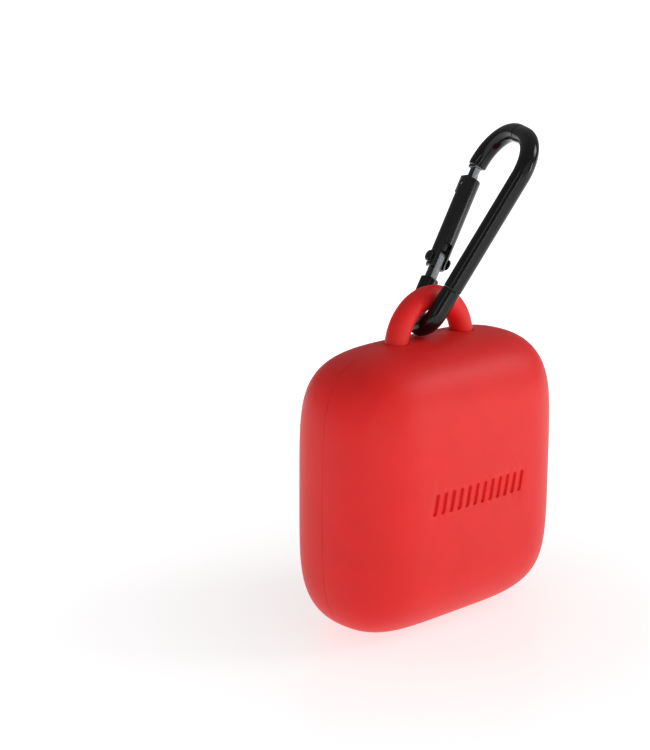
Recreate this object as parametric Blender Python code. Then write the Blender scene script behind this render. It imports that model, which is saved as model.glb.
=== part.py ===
"""A two-half mouthguard case with a hanging loop and a snap carabiner, with the mouthguard inside.

Lengths are in millimetres here and become metres when a mesh is made. The case stands on its bottom
edge at z = 0, X runs along its width, the front face looks along -Y and the loop is on top.
"""

import math

import bmesh
import bpy
import numpy as np
from mathutils import Matrix, Vector

MM = 0.001

# Case: a pillow between two superellipse faces.
CASE_WIDTH = 75.0
CASE_TOP = 74.4
CASE_THICKNESS = 37.7
FOOT_CUT = 0.35
CORNER_EXPONENT = 4.2
EDGE_EXPONENT = 2.35
FACE_DOME = 0.94
COVER_WALL = 1.6
SHELL_OUTSIDE = 1.8
SHELL_INSIDE = 3.6
SEGMENTS = 40
EDGE_RINGS = 7

HALF_WIDTH = CASE_WIDTH / 2
HALF_HEIGHT = (CASE_TOP + FOOT_CUT) / 2
CENTRE_Z = CASE_TOP - HALF_HEIGHT
HALF_THICKNESS = CASE_THICKNESS / 2

# Parting line between the halves, and the lip and seal that close it.
REAR_RIM = -0.45
FRONT_RIM = -0.75
FRONT_SHELL_RIM = -1.75
LIP_TOP = -3.0
LIP_OUTSIDE = 2.85
REBATE = 2.6
SEAL_INSET = (1.95, 2.65)
SEAL_Y = (-1.45, -0.75)

# Hinge down the right-hand side.
HINGE_X = HALF_WIDTH + 0.4
HINGE_Y = -0.6
BARREL_RADIUS = 1.9
HINGE_PIN_RADIUS = 0.8
HINGE_BORE_RADIUS = 1.05
KNUCKLES = 5
KNUCKLE_PITCH = 5.4
KNUCKLE_GAP = 0.4

# Closing magnets in the two left-hand corners.
MAGNET_RADIUS = 1.75
MAGNET_THICKNESS = 1.6
BOSS_RADIUS = 2.9
MAGNET_X = -27.4
MAGNET_DZ = 27.4

# Hanging loop.
LOOP_RADIUS = 11.95
LOOP_TUBE = 3.05
LOOP_Z = 72.47
LOOP_HOLE_RADIUS = 3.4
LOOP_FOOT = ((-15.5, -3.0, 66.8), (15.5, 6.0, 69.2))

# Mouthguard: the half ellipse that the dental arch follows, front of the arch at the bottom.
ARCH_HALF_WIDTH = 23.4
ARCH_DEPTH = 46.0
ARCH_FRONT_Z = 13.4

# Carabiner: origin at the centre of its small bend, then unit vectors across it, along it and
# through it. It hangs in the loop, leaning to the right.
CARABINER_ORIGIN = np.array((0.225, 0.117, 82.038))
ACROSS = np.array((-0.25167, -0.94831, 0.19332))
ALONG = np.array((0.5436, 0.02675, 0.83891))
ROD_RADIUS = 2.43
SMALL_BEND = 5.811
SPINE_LEAN = 0.323
SPINE_LENGTH = 39.155
LARGE_BEND = 9.843
LARGE_SWEEP = 1.555
ELBOW = 10.772
ROD_SIDES = 14

# Gate of the carabiner, measured along it from the same origin.
GATE_RADIUS = 2.6
GATE_BORE = 1.85
PIVOT = 13.255
GATE_BOTTOM = PIVOT - 2.3
GATE_TOP = 36.74
STUB_END = 7.9
NOSE_END = 40.5
NOSE_PIN = 34.6


def unit(vector):
    return np.asarray(vector, float) / np.linalg.norm(vector)


ALONG = unit(ALONG)
ACROSS = unit(ACROSS - ALONG * np.dot(ACROSS, ALONG))
THROUGH = np.cross(ACROSS, ALONG)


# Meshes -------------------------------------------------------------------------------------------


def material(name, colour, roughness, metallic=0.0):
    made = bpy.data.materials.new(name)
    made.use_nodes = True
    shader = made.node_tree.nodes["Principled BSDF"]
    shader.inputs["Base Color"].default_value = (*colour, 1.0)
    shader.inputs["Roughness"].default_value = roughness
    shader.inputs["Metallic"].default_value = metallic
    made.diffuse_color = (*colour, 1.0)
    return made


def finish_mesh(mesh):
    """Faces outwards, smooth shading with sharp creases."""
    work = bmesh.new()
    work.from_mesh(mesh)
    bmesh.ops.recalc_face_normals(work, faces=work.faces)
    work.to_mesh(mesh)
    work.free()
    mesh.polygons.foreach_set("use_smooth", [True] * len(mesh.polygons))
    mesh.set_sharp_from_angle(angle=math.radians(38))


def solid(name, points, faces):
    mesh = bpy.data.meshes.new(name)
    mesh.from_pydata([tuple(np.asarray(p) * MM) for p in points], [], faces)
    finish_mesh(mesh)
    made = bpy.data.objects.new(name, mesh)
    bpy.context.scene.collection.objects.link(made)
    return made


def loft(rings):
    """Points and faces of a closed skin over rings; a ring of one point is a pole."""
    points = []
    starts = []
    for ring in rings:
        starts.append(len(points))
        points.extend(ring)
    faces = []
    for one, two, first, second in zip(rings, rings[1:], starts, starts[1:]):
        count = max(len(one), len(two))
        for k in range(count):
            nxt = (k + 1) % count
            if len(one) == 1:
                faces.append((first, second + nxt, second + k))
            elif len(two) == 1:
                faces.append((first + k, first + nxt, second))
            else:
                faces.append((first + k, first + nxt, second + nxt, second + k))
    for ring, start in ((rings[0], starts[0]), (rings[-1], starts[-1])):
        if len(ring) > 1:
            faces.append(tuple(range(start, start + len(ring))))
    return points, faces


def lofted(name, rings):
    return solid(name, *loft(rings))


def ring_loft(name, rings):
    """A closed skin over rings that come back to the first one."""
    count = len(rings[0])
    points = [p for ring in rings for p in ring]
    faces = []
    for j in range(len(rings)):
        first = j * count
        second = (j + 1) % len(rings) * count
        for k in range(count):
            nxt = (k + 1) % count
            faces.append((first + k, first + nxt, second + nxt, second + k))
    return solid(name, points, faces)


def box(low, high, frame=None):
    """A box between two corners, in the row frame or in a frame of (origin, x, y, z)."""
    origin, x, y, z = frame or (np.zeros(3), (1, 0, 0), (0, 1, 0), (0, 0, 1))
    rings = []
    for c in (low[2], high[2]):
        corners = ((low[0], low[1]), (high[0], low[1]), (high[0], high[1]), (low[0], high[1]))
        rings.append([origin + a * np.array(x) + b * np.array(y) + c * np.array(z) for a, b in corners])
    return lofted("box", rings)


def turned(name, origin, axis, profile, sides):
    """A solid of revolution: profile is (height along the axis, radius), and radius 0 is a pole."""
    axis = unit(axis)
    side = unit(np.cross(axis, (0.3, 0.2, 1.0) if abs(axis[2]) < 0.9 else (1.0, 0.0, 0.0)))
    other = np.cross(axis, side)
    rings = []
    for height, radius in profile:
        centre = np.asarray(origin, float) + axis * height
        if radius == 0:
            rings.append([centre])
            continue
        turns = [2 * math.pi * k / sides for k in range(sides)]
        rings.append([centre + radius * (math.cos(t) * side + math.sin(t) * other) for t in turns])
    return lofted(name, rings)


def rod(origin, axis, start, end, radius, sides=20):
    return turned("rod", origin, axis, ((start, radius), (end, radius)), sides)


def swept(name, path, radius, sides, up):
    """A round rod along a path; radius is one number or one per point."""
    path = np.asarray(path, float)
    radii = np.broadcast_to(radius, len(path))
    tangents = np.gradient(path, axis=0)
    rings = []
    side = None
    for point, tangent, size in zip(path, tangents, radii):
        tangent = unit(tangent)
        reference = up if side is None else side
        side = unit(np.asarray(reference) - tangent * np.dot(reference, tangent))
        other = np.cross(tangent, side)
        turns = [2 * math.pi * k / sides for k in range(sides)]
        rings.append([point + size * (math.cos(t) * side + math.sin(t) * other) for t in turns])
    return lofted(name, rings)


def combine(target, tool, operation):
    """Joins a tool to a target, or cuts it out, and removes the tool."""
    step = target.modifiers.new("combine", "BOOLEAN")
    step.operation = operation
    step.solver = "EXACT"
    step.object = tool
    bpy.context.view_layer.update()
    graph = bpy.context.evaluated_depsgraph_get()
    mesh = bpy.data.meshes.new_from_object(target.evaluated_get(graph))
    target.modifiers.clear()
    target.data = mesh
    bpy.data.objects.remove(tool, do_unlink=True)
    return target


def join(target, tool):
    return combine(target, tool, "UNION")


def cut(target, tool):
    return combine(target, tool, "DIFFERENCE")


def place(made, name, look, origin=(0, 0, 0)):
    """Names a finished piece, gives it its material and puts its origin on its joint."""
    origin = Vector(origin) * MM
    made.name = name
    mesh = made.data
    mesh.name = name
    mesh.transform(Matrix.Translation(-origin))
    finish_mesh(mesh)
    made.location = origin
    mesh.materials.clear()
    mesh.materials.append(look)
    return made


# Case ---------------------------------------------------------------------------------------------


def outline(inset, y, scale=1.0):
    """The case's outline at an inset from its widest size, rounder outside and squarer inside."""
    half_x = HALF_WIDTH - inset
    half_z = HALF_HEIGHT - inset
    corner = HALF_WIDTH * 2 ** (-1 / CORNER_EXPONENT) - 0.778 * inset
    exponent = -math.log(2) / math.log(corner / half_x)
    ring = []
    for k in range(SEGMENTS):
        turn = 2 * math.pi * k / SEGMENTS
        c, s = math.cos(turn), math.sin(turn)
        x = half_x * math.copysign(abs(c) ** (2 / exponent), c) * scale
        z = half_z * math.copysign(abs(s) ** (2 / exponent), s) * scale
        ring.append(np.array((x, y, CENTRE_Z + z)))
    return ring


def skin(wall, start, side):
    """Rings of the pillow inset by wall, from y = start out to the pole of one face."""
    depth = HALF_THICKNESS - FACE_DOME - wall
    radius = HALF_THICKNESS - wall
    first = math.asin((abs(start) / depth) ** (EDGE_EXPONENT / 2))
    rings = []
    for k in range(EDGE_RINGS + 1):
        turn = first + (math.pi / 2 - first) * k / EDGE_RINGS
        y = depth * math.sin(turn) ** (2 / EDGE_EXPONENT)
        inset = radius * (1 - max(math.cos(turn), 0.0) ** (2 / EDGE_EXPONENT))
        rings.append(outline(wall + inset, side * y))
    rings.append(outline(wall + radius, side * (depth + 0.75 * FACE_DOME), 0.5))
    rings.append([np.array((0, side * (depth + FACE_DOME), CENTRE_Z))])
    return rings


def standing(rings):
    """The outside rings with the bottom levelled off as a flat foot."""
    return [[np.array((p[0], p[1], max(p[2], 0.0))) for p in ring] for ring in rings]


def cover(side, rim):
    outer = standing(skin(0.0, rim, side))
    return lofted("cover", outer[::-1] + skin(COVER_WALL, rim, side))


def front_shell():
    outer = skin(SHELL_OUTSIDE, FRONT_SHELL_RIM, -1)
    step = LIP_TOP - 0.3
    rebate = [outline(REBATE, FRONT_SHELL_RIM), outline(REBATE + 0.05, step)]
    return lofted("shell", outer[::-1] + rebate + skin(SHELL_INSIDE, step, -1))


def rear_shell():
    """The rear half with a lip that reaches forward inside the front half."""
    outer = skin(SHELL_OUTSIDE, 0.0, 1)
    rim = [outline(SHELL_OUTSIDE, REAR_RIM), outline(LIP_OUTSIDE, REAR_RIM)]
    lip = [outline(LIP_OUTSIDE, LIP_TOP), outline(SHELL_INSIDE, LIP_TOP)]
    return lofted("shell", outer[::-1] + rim + lip + skin(SHELL_INSIDE, 0.0, 1))


def rear_cover():
    outer = standing(skin(0.0, 0.0, 1))
    inner = skin(COVER_WALL, 0.0, 1)
    rim = [*standing([outline(0.0, REAR_RIM)]), outline(COVER_WALL, REAR_RIM)]
    return lofted("cover", outer[::-1] + rim + inner)


def loop_holes():
    """Cutters for the two legs of the hanging loop."""
    return [rod((x, 0, 60), (0, 0, 1), 4, 20, LOOP_HOLE_RADIUS, 16) for x in (-11.87, 11.87)]


def vents():
    """Cutters for the drying holes in the back."""
    spots = [(0, 0)] + [(x, z) for x in (-8, 8) for z in (-6, 6)]
    return [rod((x, 10, CENTRE_Z + z), (0, 1, 0), 0, 12, 1.6, 12) for x, z in spots]


def knuckle_span(index):
    """Bottom and top of one hinge knuckle."""
    bottom = CENTRE_Z + (index - KNUCKLES / 2) * KNUCKLE_PITCH
    return bottom + KNUCKLE_GAP / 2, bottom + KNUCKLE_PITCH - KNUCKLE_GAP / 2


def add_knuckles(shell, indices, arm_y):
    """Hinge knuckles, each on an arm that comes out of the shell's wall."""
    for index in indices:
        low, high = knuckle_span(index)
        join(shell, box((HALF_WIDTH - 2.5, arm_y[0], low), (HALF_WIDTH - 0.5, arm_y[1], high)))
        join(shell, rod((HINGE_X, HINGE_Y, 0), (0, 0, 1), low + 0.001, high - 0.001, BARREL_RADIUS))
    reach = KNUCKLES * KNUCKLE_PITCH / 2 + 2
    return cut(shell, rod((HINGE_X, HINGE_Y, CENTRE_Z), (0, 0, 1), -reach, reach, HINGE_BORE_RADIUS, 16))


def hinge_notch(cover_half, low_y, high_y):
    reach = KNUCKLES * KNUCKLE_PITCH / 2 + 0.8
    low = (HALF_WIDTH - 4, low_y, CENTRE_Z - reach)
    high = (HALF_WIDTH + 4, high_y, CENTRE_Z + reach)
    return cut(cover_half, box(low, high))


def add_bosses(shell, mouth, foot):
    """Two round bosses with magnet pockets that open at the mouth."""
    inwards = 1 if foot > mouth else -1
    for z in (-MAGNET_DZ, MAGNET_DZ):
        spot = (MAGNET_X, 0, CENTRE_Z + z)
        join(shell, rod(spot, (0, 1, 0), min(mouth, foot), max(mouth, foot), BOSS_RADIUS, 20))
        ends = sorted((mouth - inwards, mouth + inwards * (MAGNET_THICKNESS + 0.4)))
        cut(shell, rod(spot, (0, 1, 0), *ends, MAGNET_RADIUS + 0.2, 20))
    return shell


def magnet(start, end, z):
    chamfer = 0.2
    profile = (
        (start, MAGNET_RADIUS - chamfer),
        (start + chamfer, MAGNET_RADIUS),
        (end - chamfer, MAGNET_RADIUS),
        (end, MAGNET_RADIUS - chamfer),
    )
    return turned("magnet", (MAGNET_X, 0, CENTRE_Z + z), (0, 1, 0), profile, 20)


def rim_seal():
    """A gasket round the rim, open at the top between the legs of the loop."""
    rings = [
        outline(inset, y)
        for inset, y in (
            (SEAL_INSET[0], SEAL_Y[0]),
            (SEAL_INSET[0], SEAL_Y[1]),
            (SEAL_INSET[1], SEAL_Y[1]),
            (SEAL_INSET[1], SEAL_Y[0]),
        )
    ]
    top = CASE_TOP - HALF_HEIGHT * 0.5
    keep = [k for k in range(SEGMENTS) if not (rings[0][k][2] > top and abs(rings[0][k][0]) < 17)]
    first = next(k for k in keep if (k - 1) % SEGMENTS not in keep)
    order = [(first + k) % SEGMENTS for k in range(len(keep))]
    return lofted("seal", [[ring[k] for ring in rings] for k in order])


def hinge_pin():
    reach = KNUCKLES * KNUCKLE_PITCH / 2 + 0.4
    r = HINGE_PIN_RADIUS
    profile = ((-reach, r - 0.2), (-reach + 0.2, r), (reach - 0.2, r), (reach, r - 0.2))
    return turned("pin", (HINGE_X, HINGE_Y, CENTRE_Z), (0, 0, 1), profile, 16)


def lanyard_loop():
    """A half ring on two legs that end in a foot plate inside the rear half."""
    turns = [math.pi * k / 24 for k in range(25)]
    arch = [(LOOP_RADIUS * math.cos(t), 0, LOOP_Z + LOOP_RADIUS * math.sin(t)) for t in turns]
    leg_end = LOOP_FOOT[0][2] + 1
    path = [(LOOP_RADIUS, 0, leg_end), *arch, (-LOOP_RADIUS, 0, leg_end)]
    band = swept("loop", path, LOOP_TUBE, 16, (0, 1, 0))
    return join(band, box(*LOOP_FOOT))


# Inside the case ----------------------------------------------------------------------------------


def rounded_plate(name, half, exponent, low_y, high_y, count=28):
    rings = []
    for y in (low_y, high_y):
        ring = []
        for k in range(count):
            turn = 2 * math.pi * k / count
            c, s = math.cos(turn), math.sin(turn)
            x = half[0] * math.copysign(abs(c) ** (2 / exponent), c)
            z = half[1] * math.copysign(abs(s) ** (2 / exponent), s)
            ring.append(np.array((x, y, CENTRE_Z + z)))
        rings.append(ring)
    return lofted(name, rings)


def cradle():
    """A tray with a raised block that fills the arch of the mouthguard, on four feet."""
    tray = rounded_plate("tray", (24, 24), 4.5, 11.4, 12.6)
    block = rounded_plate("block", (11.5, 13), 3.0, 1.5, 11.9, 20)
    join(tray, block)
    for x in (-15, 15):
        for z in (-15, 15):
            join(tray, rod((x, 0, CENTRE_Z + z), (0, 1, 0), 12, 14.0, 2.0, 12))
    hollow = rounded_plate("hollow", (9.5, 11), 3.0, 3.5, 13.5, 20)
    return cut(tray, hollow)


def arch_station(turn):
    """Point of the dental arch, its outward normal and its width factor; turn 0 is the front."""
    point = np.array((ARCH_HALF_WIDTH * math.sin(turn), 0, ARCH_FRONT_Z + ARCH_DEPTH * (1 - math.cos(turn))))
    normal = unit((math.sin(turn) / ARCH_HALF_WIDTH, 0, -math.cos(turn) / ARCH_DEPTH))
    return point, normal, 0.86 + 0.14 * abs(math.sin(turn))


def channel(name, section, ends):
    """A trough along the dental arch; section is (outwards, y)."""
    rings = []
    count = 27
    for k in range(count):
        turn = ends * (2 * k / (count - 1) - 1)
        point, normal, width = arch_station(turn)
        rings.append([point + normal * a * width + np.array((0, y, 0)) for a, y in section])
    return lofted(name, rings)


FRAME_SECTION = (
    (4.1, -7.6), (4.7, -8.2), (5.5, -7.4), (5.8, 6.0), (4.6, 8.4), (0.0, 9.0),
    (-4.4, 8.4), (-5.5, 6.0), (-5.3, -2.6), (-4.7, -3.2), (-4.1, -2.6), (-4.1, 5.6), (4.1, 5.6),
)
LINER_SECTION = (
    (2.7, -7.0), (3.2, -7.6), (3.7, -7.0), (3.75, 5.3), (-3.75, 5.3), (-3.7, -2.2),
    (-3.2, -2.7), (-2.7, -2.2), (-2.6, 4.1), (2.6, 4.1),
)


# Carabiner ----------------------------------------------------------------------------------------


def carabiner_point(b, a, n=0.0):
    return CARABINER_ORIGIN + b * ACROSS + a * ALONG + n * THROUGH


CARABINER_FRAME = (CARABINER_ORIGIN, ACROSS, ALONG, THROUGH)
GATE_AXIS_FOOT = carabiner_point(-SMALL_BEND, 0)


def arc(centre, radius, start, sweep, count):
    turns = [start + sweep * k / count for k in range(count + 1)]
    return [(centre[0] + radius * math.cos(t), centre[1] + radius * math.sin(t)) for t in turns]


def rod_path():
    """The rod's centreline in the carabiner's plane, from the gate's foot round to the nose."""
    path = [(-SMALL_BEND, STUB_END), (-SMALL_BEND, 5.0)]
    path += arc((0, 0), SMALL_BEND, math.pi, math.pi - SPINE_LEAN, 12)
    heading = np.array((math.sin(SPINE_LEAN), math.cos(SPINE_LEAN)))
    left = np.array((-heading[1], heading[0]))
    top_of_spine = np.array(path[-1]) + heading * SPINE_LENGTH
    path.append(tuple(np.array(path[-1]) + heading * SPINE_LENGTH / 2))
    centre = top_of_spine + left * LARGE_BEND
    path += arc(centre, LARGE_BEND, -SPINE_LEAN, LARGE_SWEEP, 8)
    turn = LARGE_SWEEP - SPINE_LEAN
    shoulder = np.array((-math.sin(turn), math.cos(turn)))
    elbow_sweep = math.pi + SPINE_LEAN - LARGE_SWEEP
    run = (path[-1][0] + SMALL_BEND - ELBOW * (1 - math.cos(elbow_sweep))) / -shoulder[0]
    start = np.array(path[-1]) + shoulder * run
    inwards = np.array((-shoulder[1], shoulder[0]))
    elbow_centre = start + inwards * ELBOW
    trim = math.asin((NOSE_END - elbow_centre[1]) / ELBOW)
    path += arc(elbow_centre, ELBOW, turn, elbow_sweep - trim, 9)
    return path


def chamfered(path, radius, chamfer=0.35):
    """A path with a point added near each end, and the radius that gives the ends a chamfer."""
    path = [np.asarray(p, float) for p in path]
    head = path[0] + unit(path[1] - path[0]) * chamfer
    tail = path[-1] + unit(path[-2] - path[-1]) * chamfer
    points = [path[0], head, *path[1:-1], tail, path[-1]]
    return points, [radius - chamfer, *[radius] * (len(points) - 2), radius - chamfer]


def carabiner_body():
    """The bent rod with a flat tongue at each end of its gap."""
    path, radii = chamfered([carabiner_point(*p) for p in rod_path()], ROD_RADIUS)
    made = swept("rod", path, radii, ROD_SIDES, THROUGH)
    b = -SMALL_BEND
    join(made, box((b - 1.7, STUB_END - 3, -1.0), (b + 1.7, PIVOT + 1.3, 1.0), CARABINER_FRAME))
    join(made, box((b - 1.1, PIVOT + 1.2, -0.999), (b + 1.1, PIVOT + 2.1, 0.999), CARABINER_FRAME))
    join(made, box((b - 1.3, NOSE_PIN - 1.0, -0.9), (b + 1.3, NOSE_END + 3, 0.9), CARABINER_FRAME))
    cut(made, rod(carabiner_point(b, PIVOT), THROUGH, -2, 2, 0.9, 14))
    return cut(made, box((b - 0.7, NOSE_PIN - 0.75, -2), (b + 2, NOSE_PIN + 0.75, 2), CARABINER_FRAME))


def gate():
    """A tube with a forked foot, a blind bore for the spring and a slotted top."""
    r = GATE_RADIUS
    ends = (
        (GATE_BOTTOM, r - 0.3),
        (GATE_BOTTOM + 0.3, r),
        (GATE_TOP - 0.3, r),
        (GATE_TOP, r - 0.3),
    )
    made = turned("gate", GATE_AXIS_FOOT, ALONG, ends, 20)
    cut(made, rod(GATE_AXIS_FOOT, ALONG, GATE_BOTTOM - 1, PIVOT + 18.0, GATE_BORE, 16))
    cut(made, rod(GATE_AXIS_FOOT, ALONG, PIVOT + 19.4, GATE_TOP + 1, GATE_BORE, 16))
    b = -SMALL_BEND
    cut(made, box((b - 4, GATE_BOTTOM - 1, -1.25), (b + 4, PIVOT + 3.2, 1.25), CARABINER_FRAME))
    cut(made, box((b - 4, PIVOT + 19.7, -1.15), (b + 0.9, GATE_TOP + 1, 1.15), CARABINER_FRAME))
    cut(made, rod(carabiner_point(b, PIVOT), THROUGH, -4, 4, 0.9, 14))
    return cut(made, rod(carabiner_point(b, NOSE_PIN), THROUGH, -4, 4, 0.75, 12))


def hinge_rivet():
    """A rivet with a domed head on each side of the gate."""
    half = [(0.0, 0.65), (2.8, 0.65), (2.8, 1.5), (3.1, 1.5), (3.4, 1.15), (3.55, 0.6), (3.6, 0)]
    profile = [(-h, radius) for h, radius in reversed(half[1:])] + half[1:]
    return turned("rivet", carabiner_point(-SMALL_BEND, PIVOT), THROUGH, profile, 16)


def nose_pin():
    return turned(
        "pin",
        carabiner_point(-SMALL_BEND, NOSE_PIN),
        THROUGH,
        ((-2.35, 0.45), (2.35, 0.45)),
        10,
    )


def gate_spring():
    turns, per_turn, radius = 8, 10, 1.3
    low, high = PIVOT + 6.1, PIVOT + 17.6
    path = []
    for k in range(turns * per_turn + 1):
        turn = 2 * math.pi * k / per_turn
        height = low + (high - low) * k / (turns * per_turn)
        path.append(carabiner_point(-SMALL_BEND + radius * math.cos(turn), height, radius * math.sin(turn)))
    return swept("spring", path, 0.2, 5, ALONG)


def gate_plunger():
    low = PIVOT + 2.45
    profile = ((low, 1.2), (low + 0.3, 1.5), (low + 2.8, 1.5), (low + 2.8, 0.7), (low + 6.0, 0.7))
    return turned("plunger", GATE_AXIS_FOOT, ALONG, profile, 14)


# Assembly -----------------------------------------------------------------------------------------


def clear_scene():
    for old in list(bpy.data.objects):
        bpy.data.objects.remove(old, do_unlink=True)


def build_case(looks):
    rear = rear_cover()
    front = cover(-1, FRONT_RIM)
    inner_rear = rear_shell()
    inner_front = front_shell()
    for half in (rear, front, inner_rear, inner_front):
        for tool in loop_holes():
            cut(half, tool)
    hinge_notch(rear, -2, 3.4)
    hinge_notch(front, -4.6, 1)
    for half in (rear, inner_rear):
        for tool in vents():
            cut(half, tool)
    add_bosses(inner_rear, LIP_TOP, 4.8)
    add_bosses(inner_front, LIP_TOP - 0.4, -6.1)
    add_knuckles(inner_rear, (0, 2, 4), (0.4, 3.0))
    add_knuckles(inner_front, (1, 3), (-4.2, -1.8))
    lid = (HINGE_X, HINGE_Y, CENTRE_Z)
    place(rear, "rear_cover", looks["silicone"])
    place(inner_rear, "rear_shell", looks["plastic"])
    place(front, "front_cover", looks["silicone"], lid)
    place(inner_front, "front_shell", looks["plastic"], lid)
    place(rim_seal(), "rim_seal", looks["seal"])
    place(hinge_pin(), "hinge_pin", looks["steel"])
    place(lanyard_loop(), "lanyard_loop", looks["silicone"])
    for spot, z in (("lower", -MAGNET_DZ), ("upper", MAGNET_DZ)):
        rear_end = LIP_TOP + 0.2 + MAGNET_THICKNESS
        front_start = LIP_TOP - 0.6 - MAGNET_THICKNESS
        place(magnet(LIP_TOP + 0.2, rear_end, z), "rear_magnet_" + spot, looks["steel"])
        place(magnet(front_start, LIP_TOP - 0.6, z), "front_magnet_" + spot, looks["steel"], lid)


def build_mouthguard(looks):
    place(cradle(), "cradle", looks["tray"])
    place(channel("frame", FRAME_SECTION, 1.45), "mouthguard_frame", looks["guard"])
    place(channel("liner", LINER_SECTION, 1.40), "mouthguard_liner", looks["liner"])


def build_carabiner(looks):
    swing = (0, 0, LOOP_Z + LOOP_RADIUS)
    pivot = carabiner_point(-SMALL_BEND, PIVOT)
    place(carabiner_body(), "carabiner_body", looks["anodised"], swing)
    place(hinge_rivet(), "gate_hinge_rivet", looks["anodised"], swing)
    place(gate(), "gate", looks["anodised"], pivot)
    place(nose_pin(), "gate_nose_pin", looks["steel"], pivot)
    place(gate_spring(), "gate_spring", looks["steel"], pivot)
    place(gate_plunger(), "gate_plunger", looks["dark"], pivot)


def main():
    clear_scene()
    looks = {
        "silicone": material("red_silicone", (0.72, 0.035, 0.035), 0.55),
        "plastic": material("black_plastic", (0.03, 0.03, 0.032), 0.4),
        "seal": material("seal_rubber", (0.25, 0.02, 0.02), 0.7),
        "steel": material("plain_steel", (0.55, 0.56, 0.58), 0.3, 1.0),
        "tray": material("grey_tray", (0.12, 0.12, 0.13), 0.5),
        "guard": material("guard_frame", (0.05, 0.05, 0.055), 0.35),
        "liner": material("guard_liner", (0.7, 0.05, 0.05), 0.3),
        "anodised": material("black_anodised", (0.02, 0.02, 0.022), 0.3, 0.6),
        "dark": material("dark_plastic", (0.015, 0.015, 0.016), 0.5),
    }
    build_case(looks)
    build_mouthguard(looks)
    build_carabiner(looks)


main()
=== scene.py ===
"""Looks of the mouthguard case: soft silicone covers, loop, plastic shells, mouthguard and carabiner.

Lengths are in millimetres and become metres when a mesh is made. The shapes follow the CAD part's
driving dimensions with finer meshes and slightly squarer corners, and every piece rides on one of
the frame's bodies.
"""

import math

import bmesh
import bpy
import numpy as np
from mathutils import Matrix, Vector


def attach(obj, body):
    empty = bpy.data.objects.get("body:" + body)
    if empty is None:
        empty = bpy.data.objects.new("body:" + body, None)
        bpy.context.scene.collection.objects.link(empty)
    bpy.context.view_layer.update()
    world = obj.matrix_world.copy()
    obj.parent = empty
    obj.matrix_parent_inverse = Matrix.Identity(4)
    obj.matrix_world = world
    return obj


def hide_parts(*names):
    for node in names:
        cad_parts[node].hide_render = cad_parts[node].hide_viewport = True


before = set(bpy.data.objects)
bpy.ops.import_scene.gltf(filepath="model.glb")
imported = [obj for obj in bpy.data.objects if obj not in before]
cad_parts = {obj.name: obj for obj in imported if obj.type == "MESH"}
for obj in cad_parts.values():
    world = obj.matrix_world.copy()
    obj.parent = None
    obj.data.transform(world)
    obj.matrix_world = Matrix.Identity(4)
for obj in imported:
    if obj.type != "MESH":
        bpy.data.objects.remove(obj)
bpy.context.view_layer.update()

MM = 0.001

# Case: a pillow between two superellipse faces.
CASE_WIDTH = 75.0
CASE_TOP = 74.4
CASE_THICKNESS = 37.7
FOOT_CUT = 0.35
CORNER_EXPONENT = 4.5
EDGE_EXPONENT = 2.35
FACE_DOME = 0.94
COVER_WALL = 1.6
SHELL_OUTSIDE = 1.8
SHELL_INSIDE = 3.6
SEGMENTS = 160
EDGE_RINGS = 34
DOME_RINGS = 8
SHARP_ANGLE = 38

HALF_WIDTH = CASE_WIDTH / 2
HALF_HEIGHT = (CASE_TOP + FOOT_CUT) / 2
CENTRE_Z = CASE_TOP - HALF_HEIGHT
HALF_THICKNESS = CASE_THICKNESS / 2

# Parting line: the visible covers close up to a hair line.
SEAM_Y = -0.6
SEAM_GAP = 0.035
RIM_ROUND = 0.1
FRONT_SHELL_RIM = -1.75
REAR_SHELL_RIM = -0.45
LIP_TOP = -3.0
LIP_OUTSIDE = 2.85
REBATE = 2.6
SEAL_INSET = (1.95, 2.65)
SEAL_Y = (-1.45, -0.75)

# Hinge, magnets and loop.
HINGE_X = HALF_WIDTH + 0.4
HINGE_Y = -0.6
BARREL_RADIUS = 1.9
HINGE_PIN_RADIUS = 0.8
HINGE_BORE_RADIUS = 1.05
KNUCKLES = 5
KNUCKLE_PITCH = 5.4
KNUCKLE_GAP = 0.4
MAGNET_RADIUS = 1.75
MAGNET_THICKNESS = 1.6
BOSS_RADIUS = 2.9
MAGNET_X = -27.4
MAGNET_DZ = 27.4
LOOP_RADIUS = 11.95
LOOP_TUBE = 3.05
LOOP_Z = 72.47
LOOP_HOLE_RADIUS = 3.25
LOOP_HOLE_X = 11.87
LOOP_FOOT = ((-15.5, -3.0, 66.8), (15.5, 6.0, 69.2))
VENT_RADIUS = 1.6

# The pressed mark on the front: a plain row of slanted bars.
MARK_COUNT = 12
MARK_PITCH = 2.85
MARK_BAR = (1.45, 5.6)
MARK_SLANT = 0.2
MARK_DEPTH = 0.6
MARK_Z = CENTRE_Z - 0.4

# Cradle: half sizes of its tray, of the block inside the mouthguard's arch and of the block's hollow.
TRAY_HALF = (24, 24)
BLOCK_HALF = (11.5, 13)
HOLLOW_HALF = (9.5, 11)
CRADLE_FOOT = 15
PLATE_SIDES = 96

# Mouthguard: the dental arch, then how far round it the frame and the liner go, in radians.
ARCH_HALF_WIDTH = 23.4
ARCH_DEPTH = 46.0
ARCH_FRONT_Z = 13.4
ARCH_STATIONS = 97
FRAME_REACH = 1.45
LINER_REACH = 1.40

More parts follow.
